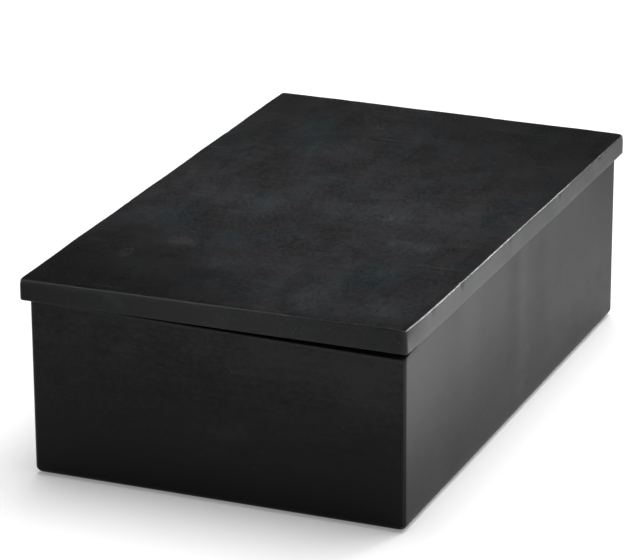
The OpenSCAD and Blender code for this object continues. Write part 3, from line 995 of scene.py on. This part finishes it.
# %% Node group: plain weave
THREADS = 1250.0  # threads per metre
WEAVE, given, gives = start_group(
    "Plain weave", [("Thread", "vector", None), ("Count", "value", THREADS)], ["Height", "Cross"])
inputs = {0: given["Thread"], "Scale": given["Count"]}
scaled = put(WEAVE, "ShaderNodeVectorMath", inputs, operation="SCALE").outputs["Vector"]
axes = split(WEAVE, scaled)
warp, weft = [math_node(WEAVE, "ABSOLUTE", math_node(WEAVE, "SINE", times(WEAVE, axes[way], math.pi)))
              for way in "XY"]
inputs = {"Vector": scaled, "Scale": 1.0, "Color1": grey(1), "Color2": grey(0)}
checks = put(WEAVE, "ShaderNodeTexChecker", inputs).outputs["Fac"]
over, under = times(WEAVE, checks, warp), times(WEAVE, minus(WEAVE, 1.0, checks), weft)
WEAVE.links.new(plus(WEAVE, over, under), gives["Height"])
WEAVE.links.new(checks, gives["Cross"])

# %% Cloth finish
CLOTH_DARK, CLOTH_PALE = (0.150, 0.142, 0.126, 1), (0.350, 0.335, 0.300, 1)
SLUBS = 110  # thick places in the yarn, per metre of thread


def woven_cloth(name):
    """Plain weave: each thread's height gives painted shade, darker in the dips between threads, and
    slubs along both ways of the cloth vary the tone.
    """
    material, tree, shader, _ = new_material(name)
    sheet = put(tree, "ShaderNodeUVMap", uv_map="cloth").outputs["UV"]
    weave = use(tree, WEAVE, {"Thread": sheet, "Count": THREADS})
    along = noise(tree, stretched(tree, sheet, (SLUBS, THREADS, 1)), 1.0, 3.0)
    across = noise(tree, stretched(tree, sheet, (THREADS, SLUBS, 1)), 1.0, 3.0)
    slubs = larger(tree, along, across)
    # Painted shade: the tone follows the threads' height, darker in the dips between them.
    tone = plus(tree, times(tree, weave["Height"], 0.6),
                linear(tree, slubs, 0.42, 0.78, 0.0, 0.35), True)
    shade = times(tree, tone, linear(tree, weave["Cross"], 0.0, 1.0, 0.85, 1.0))
    height = plus(tree, weave["Height"], times(tree, slubs, 0.7))
    feed(tree, shader, tint(tree, shade, CLOTH_DARK, CLOTH_PALE),
         remap(tree, tone, 0, 1, 0.88, 0.78), height, 0.3 * MM, 0.8)
    set_sheen(shader, 0.25, 0.45)
    return material


board_cloth = woven_cloth("board_cloth")
print("cloth of", THREADS, "threads per metre")

# %% [markdown]
# The pad starts as a crowned slab a little smaller than it ends, with its skirt reaching
# down round the card. Cloth simulation then fills it out: the skirt and the hem are
# pinned, pressure pushes the top and the shoulders out, and how far a point may move is
# capped so that the pad stays clear of the felt round it.

# %% Pad: the shape before it is filled
pad_low, pad_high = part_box("board_cover")
card_low, card_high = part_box("board_backing")
PAD_W, PAD_D = pad_high.x - pad_low.x, pad_high.y - pad_low.y
COVER_T, PAD_PLAN_R, PAD_EDGE_R = 0.9 * MM, 2.6 * MM, 3.2 * MM
CROWN, CROWN_FIRST = 1.8 * MM, 0.8  # its height, and the share of it that the shape starts with
PAD_EDGE_Z = pad_high.z - CROWN - pad_low.z
HEM_Z = card_high.z - pad_low.z + 0.15 * MM
SLACK, PAD_STEP = 0.35 * MM, 3.2 * MM
HEM_ROWS, PINNED_ROWS = 12, 4  # rows before the skirt, and rows of the skirt that stay pinned


def pad_profile(half):
    """(inset, height) from the middle under the foam, down inside the skirt, up outside it and
    over the top."""
    return np.concatenate([
        level(COVER_T + (half - COVER_T) * np.linspace(1, 0, 9) ** 2, HEM_Z),
        [[COVER_T, HEM_Z * 0.5], [COVER_T, 0.1 * MM], [COVER_T / 2, 0]],
        upright(0, np.linspace(0.3 * MM, PAD_EDGE_Z - PAD_EDGE_R, 6)),
        arc((PAD_EDGE_R, PAD_EDGE_Z - PAD_EDGE_R), PAD_EDGE_R, 180, 90, 7)[1:],
        level(PAD_EDGE_R + (half - PAD_EDGE_R) * np.linspace(0, 1, 17)[1:] ** 1.25, PAD_EDGE_Z)])


def start_pad():
    """The crowned slab: z + crown * (1 - across ** 4) (1 - along ** 4). Its UV map lays the
    sheet flat, each point as far outwards as it lies below the edge of the top. Its edge
    attribute says how firmly a point is pinned."""
    profile = pad_profile(PAD_W / 2)
    points, outward = slab_points(PAD_W / 2 - SLACK, PAD_D / 2 - SLACK, PAD_PLAN_R, profile, PAD_STEP)
    row = np.arange(len(profile))[None, :]
    on_top = ramp(profile[:, 1], HEM_Z + 4 * MM, 4 * MM)[None, :]
    across, along = points[..., 0] / (PAD_W / 2), points[..., 1] / (PAD_D / 2)
    crown = np.clip((1 - across ** 4) * (1 - along ** 4), 0, 1)
    points[..., 2] += CROWN * CROWN_FIRST * crown * on_top * (row > HEM_ROWS) + pad_low.z
    drop = (PAD_EDGE_Z - profile[:, 1])[None, :, None]
    sheet = points[..., :2] + outward[:, None, :2] * drop
    pinned = 1 - on_top * (row > HEM_ROWS + PINNED_ROWS) * np.ones((len(points), 1))
    return make_piece("pin_board_pad", points, True, pinned, sheet)


pad = start_pad()
print("pad before filling:", len(pad.data.vertices), "points")

# %% Pad: filled by cloth simulation
RISE_CAP, SIDE_CAP = 1.6 * MM, 0.3 * MM


def read_points(mesh):
    """The mesh's points as rows of x, y, z."""
    flat = np.empty(len(mesh.vertices) * 3, dtype=np.float32)
    mesh.vertices.foreach_get("co", flat)
    return flat.reshape(-1, 3).astype(float)


def fill_pad(piece, frames=20):
    """Cloth with pressure and no gravity. How far each point moves is then eased towards its
    cap: cap * tanh(move / cap)."""
    held = np.empty(len(piece.data.vertices), dtype=np.float32)
    piece.data.attributes["edge"].data.foreach_get("value", held)
    start = read_points(piece.data)
    pinned = piece.vertex_groups.new(name="pinned")
    for strength in np.unique(held.round(1)):
        pinned.add(np.nonzero(held.round(1) == strength)[0].tolist(), float(strength), "REPLACE")
    cloth = piece.modifiers.new("fill", "CLOTH")
    cloth.settings.quality = 6
    cloth.settings.vertex_group_mass = "pinned"
    cloth.settings.tension_stiffness = cloth.settings.compression_stiffness = 25
    cloth.settings.bending_stiffness = 0.6
    cloth.settings.use_pressure = True
    cloth.settings.uniform_pressure_force = 3.5
    cloth.settings.effector_weights.gravity = 0
    cloth.point_cache.frame_start, cloth.point_cache.frame_end = 1, frames
    scene = bpy.context.scene
    for number in range(1, frames + 1):
        scene.frame_set(number)
    seen = piece.evaluated_get(bpy.context.evaluated_depsgraph_get())
    moved = read_points(seen.data) - start
    piece.modifiers.remove(cloth)
    piece.vertex_groups.clear()
    scene.frame_set(1)
    caps = np.array([SIDE_CAP, SIDE_CAP, RISE_CAP])
    moved = caps * np.tanh(moved / caps)
    piece.data.vertices.foreach_set("co", (start + moved).ravel().astype(np.float32))
    piece.data.update()
    return np.abs(moved).max(axis=0)


print("pad moved by up to", fill_pad(pad).round(5))
smooth = pad.modifiers.new("smooth", "SUBSURF")
smooth.levels = smooth.render_levels = 1
dress(pad, "pin_board", "pad_cloth", board_cloth, "board_cover", "board_foam")

# %% [markdown]
# The card under the foam is grey board pressed from waste paper: a dull fawn grey with
# darker and paler fibres in it. Its CAD solid is a plain sheet of card already, so it
# stays and gets that finish.

# %% Grey board finish
BOARD_DARK, BOARD_PALE = (0.16, 0.14, 0.115, 1), (0.30, 0.27, 0.225, 1)
FLECK = (0.05, 0.045, 0.04, 1)
grey_board, tree, shader, place = new_material("grey_board")
pulp = use(tree, CLOUDS, {"Vector": place, "Size": 60.0, "Softness": 0.3})
inputs = {"Vector": stretched(tree, place, (1, 0.4, 1)), "Size": 900.0, "Share": 0.2}
flecks = times(tree, use(tree, SPECKS, inputs)["Mask"], 0.6)
colour = tint(tree, flecks, tint(tree, pulp["Clouds"], BOARD_DARK, BOARD_PALE), FLECK)
dull = remap(tree, pulp["Fine"], *NOISE_SPAN, 0.8, 0.92)
feed(tree, shader, colour, dull, pulp["Fine"], 0.2 * MM, 0.5)
refinish("board_backing", grey_board)
print("grey board on", len(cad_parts["board_backing"].material_slots), "slot")

# %% [markdown]
# Two loops of ribbed ribbon lift the board out. A ribbon is glued down the end of the
# board as two layers, and above the pad the layers part into a slim drop-shaped loop. It
# is a flat strip carried along a path in the plane of its thickness: the path gives the
# middle of the strip, its normal gives the two faces, and the strip has a round selvedge.

# %% Ribbon finish
RIBBON_DARK, RIBBON_PALE = (0.012, 0.012, 0.013, 1), (0.045, 0.046, 0.050, 1)
RIBS = 1500.0  # ribs per metre of ribbon


def ribbed_ribbon(name):
    """Ribs across the strip: |sin(pi ribs * run)|, where run is the UV map's second value. The tone
    follows the ribs, darker in the grooves, as painted shade.
    """
    material, tree, shader, _ = new_material(name)
    strip = put(tree, "ShaderNodeUVMap", uv_map="cloth").outputs["UV"]
    wave = math_node(tree, "SINE", times(tree, split(tree, strip)["Y"], RIBS * math.pi))
    rib = math_node(tree, "ABSOLUTE", wave)
    threads = noise(tree, stretched(tree, strip, (4000, 500, 1)), 1.0, 2.0)
    # Painted shade: darker in the grooves between the ribs.
    tone = times(tree, rib, linear(tree, threads, *NOISE_SPAN, 0.5, 1.0))
    feed(tree, shader, tint(tree, tone, RIBBON_DARK, RIBBON_PALE),
         remap(tree, rib, 0, 1, 0.6, 0.42), rib, 0.2 * MM, 0.8)
    shader.inputs["Sheen Weight"].default_value = 0.2
    return material


ribbon_finish = ribbed_ribbon("ribbed_ribbon")
print("ribbon of", RIBS, "ribs per metre")

# %% Ribbon loops: the path
ribbon_low, ribbon_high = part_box("front_pull_ribbon")
RIBBON_W, RIBBON_T = ribbon_high.x - ribbon_low.x, 0.3 * MM
LOOP_OPEN = (ribbon_high.y - ribbon_low.y) / 2
PATH_POINTS = 150


def ribbon_path(steps=90):
    """Middle line of the ribbon in the plane y, z: up the outer layer, round the drop, down the
    inner layer. Above the pad the inner layer stands off by opening * sin(pi s) ** 0.7, where
    s = 0.06 + 0.94 rise ** 0.9 and rise goes from 0 at the pad's edge to 1 at the top."""
    tail_y = ribbon_low.y + RIBBON_T
    split_z, top_z = pad_low.z + PAD_EDGE_Z - 1 * MM, ribbon_high.z - RIBBON_T / 2
    rise = 1 - np.cos(np.linspace(0, np.pi / 2, steps))
    part = np.sin(np.pi * np.clip(0.06 + 0.94 * rise ** 0.9, 0, 1)) ** 0.7
    loop_z = split_z + (top_z - split_z) * rise
    loop_y = tail_y + RIBBON_T / 2 + (2 * LOOP_OPEN - 2.2 * RIBBON_T) * part
    tail = np.linspace(ribbon_low.z, split_z, 20)[:-1]
    up_z = np.concatenate([tail, loop_z])
    up_y = np.full(len(up_z), tail_y - RIBBON_T / 2)
    down_y = np.concatenate([loop_y[::-1], np.full(len(tail), tail_y + RIBBON_T / 2)])
    return np.stack([np.concatenate([up_y, down_y]), np.concatenate([up_z, up_z[::-1]])], axis=1)


def evened(path, count):
    """The same line with count points at equal distances along it."""
    steps = np.hypot(*np.diff(path, axis=0).T)
    path = path[np.concatenate([[True], steps > 1e-7])]
    length = np.concatenate([[0], np.cumsum(np.hypot(*np.diff(path, axis=0).T))])
    even = np.linspace(0, length[-1], count)
    return np.stack([np.interp(even, length, path[:, axis]) for axis in (0, 1)], axis=1), even


def relaxed(path):
    """Each point becomes the mean of five, apart from the two at either end."""
    kernel = np.ones(5) / 5
    inner = np.stack([np.convolve(path[:, axis], kernel, mode="valid") for axis in (0, 1)], axis=1)
    return np.concatenate([path[:2], inner, path[-2:]])


# %% Ribbon loops: the strip
SELVEDGE, PRESSED = 0.35, 0.96


def rounded(value):
    """sign(value) * |value| ** 0.35, which turns a circle into a rounded box."""
    return np.sign(value) * np.abs(value) ** SELVEDGE


def ribbon_piece(name, node, quarter):
    """Strip carried along the path: point = path + normal * half thickness * rounded sine, and
    x = half width * rounded cosine."""
    path, run = evened(ribbon_path(), PATH_POINTS)
    path = relaxed(path)
    tangent = np.gradient(path, axis=0)
    tangent /= np.linalg.norm(tangent, axis=1)[:, None]
    normal = np.stack([-tangent[:, 1], tangent[:, 0]], axis=1)
    turn = np.linspace(0, 2 * np.pi, 28, endpoint=False)
    across = rounded(np.cos(turn)) * RIBBON_W / 2
    thick = rounded(np.sin(turn)) * RIBBON_T / 2 * PRESSED
    y, z = [path[:, axis, None] + normal[:, axis, None] * thick[None, :] for axis in (0, 1)]
    x, y = turned(np.broadcast_to(across[None, :], y.shape), y, quarter)
    strip = np.stack(np.broadcast_arrays(across[None, :], run[:, None]), axis=-1)
    piece = make_piece(name, np.stack([x, y, z], axis=-1), False, None, strip)
    dress(piece, "pin_board", "ribbon", ribbon_finish, node)
    print(f"{name}: {run[-1] / MM:.1f} mm of ribbon")
    return piece


ribbon_piece("front_ribbon_loop", "front_pull_ribbon", 0)
ribbon_piece("back_ribbon_loop", "back_pull_ribbon", 2)

# %% [markdown]
# The stage is a plain white floor. It is a little short of white by itself, more so far
# from the lamp; what it lacks is given off by the floor, but only for rays that come from
# the camera or from a gloss, so dull surfaces get no more light and the shadow stays.

# %% Floor
FLOOR_HALF = 6.0
FLOOR_ALBEDO, GLOW_NEAR, GLOW_FAR = 0.85, 0.205, 0.80
GLOW_FROM, GLOW_TO = 0.5, 3.0  # distances from the object


def seen_ray(tree):
    """1 for rays from the camera, from a gloss or through glass, 0 for the rest."""
    path = put(tree, "ShaderNodeLightPath").outputs
    seen = larger(tree, path["Is Camera Ray"], path["Is Glossy Ray"])
    return larger(tree, seen, path["Is Transmission Ray"])


floor_mesh = bpy.data.meshes.new("floor")
floor_mesh.from_pydata([(-FLOOR_HALF, -FLOOR_HALF, 0), (FLOOR_HALF, -FLOOR_HALF, 0),
                        (FLOOR_HALF, FLOOR_HALF, 0), (-FLOOR_HALF, FLOOR_HALF, 0)], [], [(0, 1, 2, 3)])
floor = bpy.data.objects.new("floor", floor_mesh)
bpy.context.scene.collection.objects.link(floor)
white_floor = bpy.data.materials.new("white_floor")
white_floor.use_nodes = True
tree = white_floor.node_tree
tree.nodes.clear()
matt = put(tree, "ShaderNodeBsdfDiffuse", {"Color": grey(FLOOR_ALBEDO)})
place = put(tree, "ShaderNodeTexCoord").outputs["Object"]
from_box = put(tree, "ShaderNodeVectorMath", {0: place}, operation="LENGTH").outputs["Value"]
lacking = linear(tree, from_box, GLOW_FROM, GLOW_TO, GLOW_NEAR, GLOW_FAR)
glow = put(tree, "ShaderNodeEmission", {"Strength": times(tree, seen_ray(tree), lacking)})
both = put(tree, "ShaderNodeAddShader", {0: matt.outputs[0], 1: glow.outputs[0]})
put(tree, "ShaderNodeOutputMaterial", {"Surface": both.outputs[0]})
floor_mesh.materials.append(white_floor)
print("floor of", 2 * FLOOR_HALF, "m, white to", FLOOR_ALBEDO)

# %% [markdown]
# Round the floor the studio is white low down and dim overhead. The camera sees plain
# white; a gloss sees white near the horizon and a dim ceiling above it, which is why the
# top of the lid stays dark though it is seen at a glancing angle. The soft fill that
# lights dull surfaces is a separate, even strength.

# %% World
FILL, CEILING = 0.3, 0.035
CEILING_FROM = 0.23  # how steeply up a ray goes, as its z, where the dim ceiling starts
world = bpy.data.worlds.new("studio")
bpy.context.scene.world = world
world.use_nodes = True
tree = world.node_tree
tree.nodes.clear()
direction = put(tree, "ShaderNodeTexCoord").outputs["Generated"]
glossy = remap(tree, split(tree, direction)["Z"], 0.0, CEILING_FROM, 1.0, CEILING)
path = put(tree, "ShaderNodeLightPath").outputs
seen = tint(tree, path["Is Glossy Ray"], grey(1), glossy)
strength = tint(tree, seen_ray(tree), grey(FILL), seen)
air = put(tree, "ShaderNodeBackground", {"Color": grey(1), "Strength": strength})
put(tree, "ShaderNodeOutputWorld", {"Surface": air.outputs[0]})
print("fill", FILL, "and ceiling", CEILING)

# %% [markdown]
# Two lamps. A large soft box hangs high over the object, a little behind it, so that dull
# surfaces render about as their colour is written and the floor's shadow stays close to
# the foot. A small one stands behind and to the right: it adds next to no light, but the
# worn right edge of the lid mirrors it, as in the photograph. Neither shows to the camera.

# %% Lamps
def soft_box(name, at, width, height, radiance, aim=(0, 0, 0.04), spread=180):
    """A rectangular lamp that faces aim; its power is radiance * pi * area, its spread in degrees."""
    lamp = bpy.data.lights.new(name, "AREA")
    lamp.shape, lamp.size, lamp.size_y = "RECTANGLE", width, height
    lamp.energy = radiance * math.pi * width * height
    lamp.spread = math.radians(spread)
    placed = bpy.data.objects.new(name, lamp)
    placed.location = at
    placed.rotation_euler = (Vector(aim) - Vector(at)).to_track_quat("-Z", "Y").to_euler()
    placed.visible_camera = False
    bpy.context.scene.collection.objects.link(placed)
    print(name, "gives", round(lamp.energy, 2), "W")


soft_box("overhead", at=(0.12, 0.50, 2.6), width=2.0, height=2.0, radiance=5.6)
soft_box("edge_light", at=(0.30, 0.45, 0.29), width=0.12, height=0.14, radiance=3.0,
         aim=(0.077, -0.11, 0.08), spread=60)
bpy.context.scene.view_settings.view_transform = "Standard"
